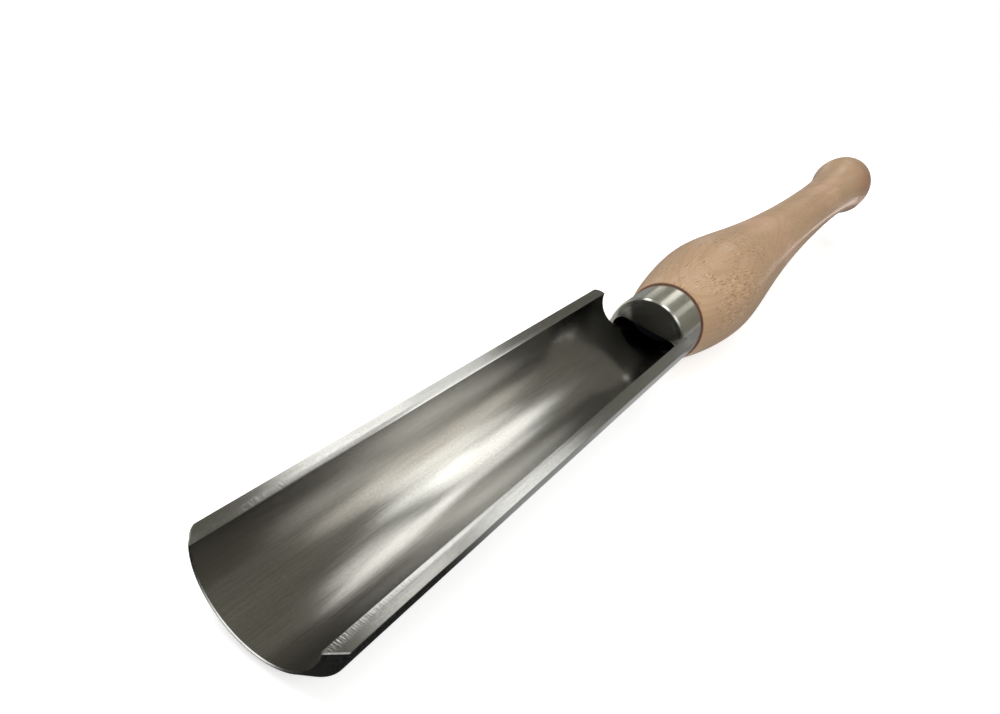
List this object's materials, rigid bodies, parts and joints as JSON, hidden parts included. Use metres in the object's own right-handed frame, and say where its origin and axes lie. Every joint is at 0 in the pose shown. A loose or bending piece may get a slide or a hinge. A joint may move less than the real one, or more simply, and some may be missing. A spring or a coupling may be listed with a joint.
{
  "type": "roughing gouge",
  "caption": "Woodturner's roughing gouge: deep half-round steel blade with flat wing tops, slotted steel ferrule and a long turned beech handle.",
  "frame": {"origin": "centre of the bounding box, at the height of the handle bulge's lowest point", "axes": "+X along the tool from the cutting edge to the butt, +Z out of the open side of the flute"},
  "size_m": [0.6049, 0.0444, 0.0444],
  "materials": {
    "blade_steel": "lengthwise brushed, darker towards the neck",
    "ferrule_steel": "fine turned satin with a bright front chamfer",
    "handle_wood": "steamed beech under a thin satin oil finish"
  },
  "bodies": {
    "root": {"blade": "blade_steel", "ferrule": "ferrule_steel", "handle": "handle_wood"}
  },
  "joints": []
}
